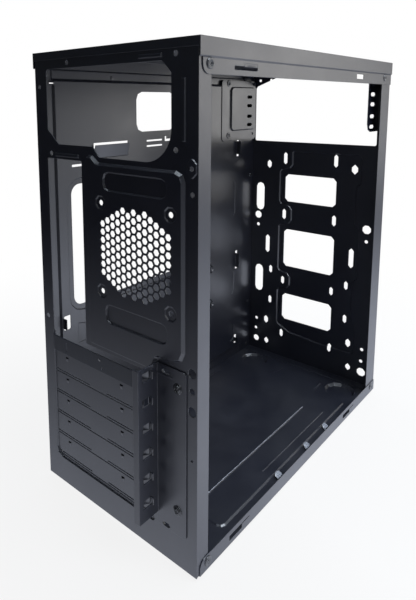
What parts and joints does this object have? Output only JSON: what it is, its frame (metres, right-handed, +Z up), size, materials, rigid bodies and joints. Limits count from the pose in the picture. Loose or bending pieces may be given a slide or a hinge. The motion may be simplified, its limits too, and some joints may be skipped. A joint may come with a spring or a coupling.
{
  "type": "atx pc case",
  "caption": "Bare folded-steel tower computer chassis with one open side, hexagonal fan grille, expansion slots and drive bay.",
  "frame": {"origin": "centre of the bounding box on the ground, under the feet", "axes": "+Z up, +Y towards the rear panel, +X towards the motherboard tray, open side at -X"},
  "size_m": [0.18, 0.3738, 0.393],
  "materials": {
    "chassis_paint": "satin black powder coat",
    "cover_paint": "satin black powder coat",
    "screw_black": "black zinc",
    "rivet_paint": "satin black paint"
  },
  "bodies": {
    "root": {"rear_panel": "chassis_paint", "top_panel": "chassis_paint", "bottom_panel": "chassis_paint", "front_panel": "chassis_paint", "motherboard_tray": "chassis_paint", "drive_bay_plate": "chassis_paint", "slot_bracket": "chassis_paint", "slot_cover_first": "cover_paint", "bracket_screw_lower": "screw_black", "bracket_screw_upper": "screw_black", "rivet_top_rear": "rivet_paint", "rivet_top_front": "rivet_paint", "rivet_bottom_rear": "rivet_paint", "rivet_bottom_front": "rivet_paint", "rivets_far_side": "rivet_paint", "tray_rivets_rear": "rivet_paint", "tray_rivets_front": "rivet_paint", "tray_rivets_top": "rivet_paint", "tray_rivets_bottom": "rivet_paint", "bay_plate_rivets": "rivet_paint"}
  },
  "joints": []
}
